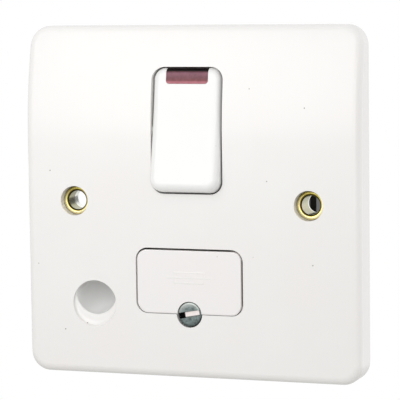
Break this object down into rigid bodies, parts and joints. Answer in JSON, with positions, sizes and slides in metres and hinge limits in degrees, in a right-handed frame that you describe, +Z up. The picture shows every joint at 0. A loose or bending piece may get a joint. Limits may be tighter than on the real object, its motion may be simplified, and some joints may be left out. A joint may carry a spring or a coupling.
{
  "type": "fused spur unit",
  "caption": "Square white wall plate with a rocker switch and red indicator, a pull-out fuse carrier, a front flex outlet and a dark rear base with wiring terminals.",
  "frame": {"origin": "centre of the plate's back rim, on the wall, midway between the fixing holes", "axes": "+X right, +Z up, the front faces -Y and the base goes into the wall along +Y"},
  "size_m": [0.086, 0.0292, 0.086],
  "materials": {
    "plate_white": "moulded gloss",
    "base_black": "moulded satin",
    "clamp_white": "moulded satin",
    "lens_red": "polished",
    "lamp_glass": "clear",
    "fuse_ceramic": "unglazed",
    "plated_metal": "nickel plated",
    "zinc_steel": "zinc plated",
    "plunger_plastic": "moulded",
    "brass": "pressed and turned"
  },
  "bodies": {
    "unit": {"front_plate": "plate_white", "rear_base": "base_black", "eyelet_left": "brass", "eyelet_right": "brass", "neon_lamp": "lamp_glass", "feed_live_terminal": "brass", "feed_neutral_terminal": "brass", "live_bridge": "brass", "load_neutral_terminal": "brass", "load_live_terminal": "brass", "earth_terminal": "brass", "earth_strap": "brass", "terminal_screws": "zinc_steel", "fuse_clip_left": "plated_metal", "fuse_clip_right": "plated_metal", "carrier_insert": "brass", "cord_clamp_bar": "clamp_white", "cord_clamp_screws": "zinc_steel", "base_screws": "zinc_steel"},
    "rocker": {"rocker": "plate_white", "neon_lens": "lens_red", "plunger_live": "plunger_plastic", "plunger_neutral": "plunger_plastic", "plunger_spring_live": "zinc_steel", "plunger_spring_neutral": "zinc_steel"},
    "contact_live": {"moving_contact_live": "brass"},
    "contact_neutral": {"moving_contact_neutral": "brass"},
    "carrier": {"fuse_carrier": "plate_white", "fuse_body": "fuse_ceramic", "fuse_caps": "plated_metal"},
    "screw": {"carrier_screw": "zinc_steel"}
  },
  "joints": [
    {"name": "rocker_pivot", "type": "hinge", "parent": "unit", "child": "rocker", "pos_m": [-0.0006, -0.0056, 0.0176], "axis": [1, 0, 0], "range_deg": [0, 20]},
    {"name": "contact_live_rock", "type": "hinge", "parent": "unit", "child": "contact_live", "pos_m": [-0.0048, 0.008, 0.0176], "axis": [1, 0, 0], "range_deg": [-10, 0]},
    {"name": "contact_neutral_rock", "type": "hinge", "parent": "unit", "child": "contact_neutral", "pos_m": [0.0036, 0.008, 0.0176], "axis": [1, 0, 0], "range_deg": [-10, 0]},
    {"name": "carrier_slide", "type": "slide", "parent": "unit", "child": "carrier", "axis": [0, -1, 0], "range_m": [0, 0.028]},
    {"name": "carrier_screw_turn", "type": "hinge", "parent": "carrier", "child": "screw", "pos_m": [-0.0003, -0.008, -0.0272], "axis": [0, -1, 0], "continuous": true}
  ],
  "couplings": [
    {"joint": "contact_live_rock", "follows": "rocker_pivot", "ratio": -0.5},
    {"joint": "contact_neutral_rock", "follows": "rocker_pivot", "ratio": -0.5}
  ]
}
